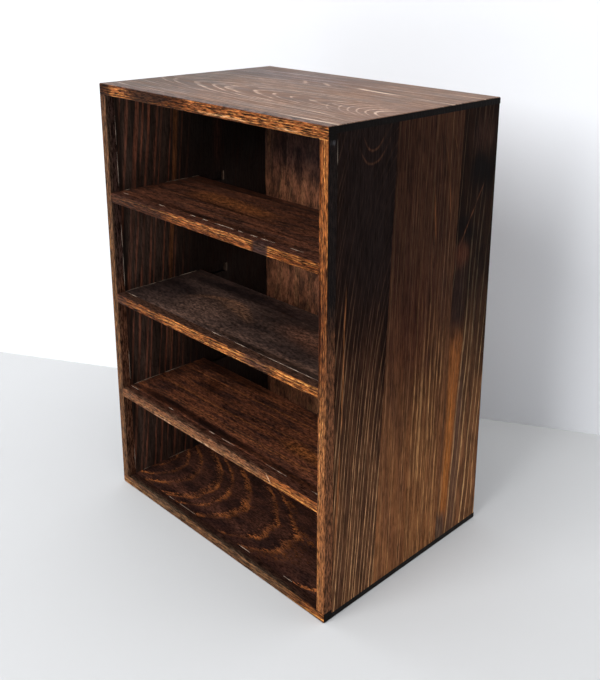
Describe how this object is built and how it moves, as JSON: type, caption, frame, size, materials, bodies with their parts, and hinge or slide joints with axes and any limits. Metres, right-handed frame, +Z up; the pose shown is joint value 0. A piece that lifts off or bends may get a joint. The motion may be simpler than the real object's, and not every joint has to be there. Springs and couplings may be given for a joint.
{
  "type": "miniature card catalog",
  "caption": "Small upright open-fronted wooden case with equal bays for card drawers, short shelves housed in its sides, and square edging strips on its front edges.",
  "frame": {"origin": "centre of the footprint, on the surface that the case stands on", "axes": "+Z up, +Y from the open front to the back, +X to the right seen from the front"},
  "size_m": [0.207, 0.146, 0.2905],
  "materials": {
    "stained_board": "thin softwood board, dark brown stain, satin varnish",
    "stained_edging": "square softwood strip, lighter orange-brown stain, satin varnish",
    "steel_pin": "bright drawn wire"
  },
  "bodies": {
    "root": {"top_board": "stained_board", "bottom_board": "stained_board", "left_side": "stained_board", "right_side_front_stave": "stained_board", "right_side_middle_stave": "stained_board", "right_side_rear_stave": "stained_board", "back_panel": "stained_board", "upper_shelf": "stained_board", "middle_shelf": "stained_board", "lower_shelf": "stained_board", "top_edging": "stained_edging", "bottom_edging": "stained_edging", "left_edging": "stained_edging", "right_edging": "stained_edging", "upper_shelf_edging": "stained_edging", "middle_shelf_edging": "stained_edging", "lower_shelf_edging": "stained_edging", "top_pins": "steel_pin", "bottom_pins": "steel_pin", "left_shelf_pins": "steel_pin", "right_shelf_pins": "steel_pin", "edging_pins": "steel_pin"}
  },
  "joints": []
}
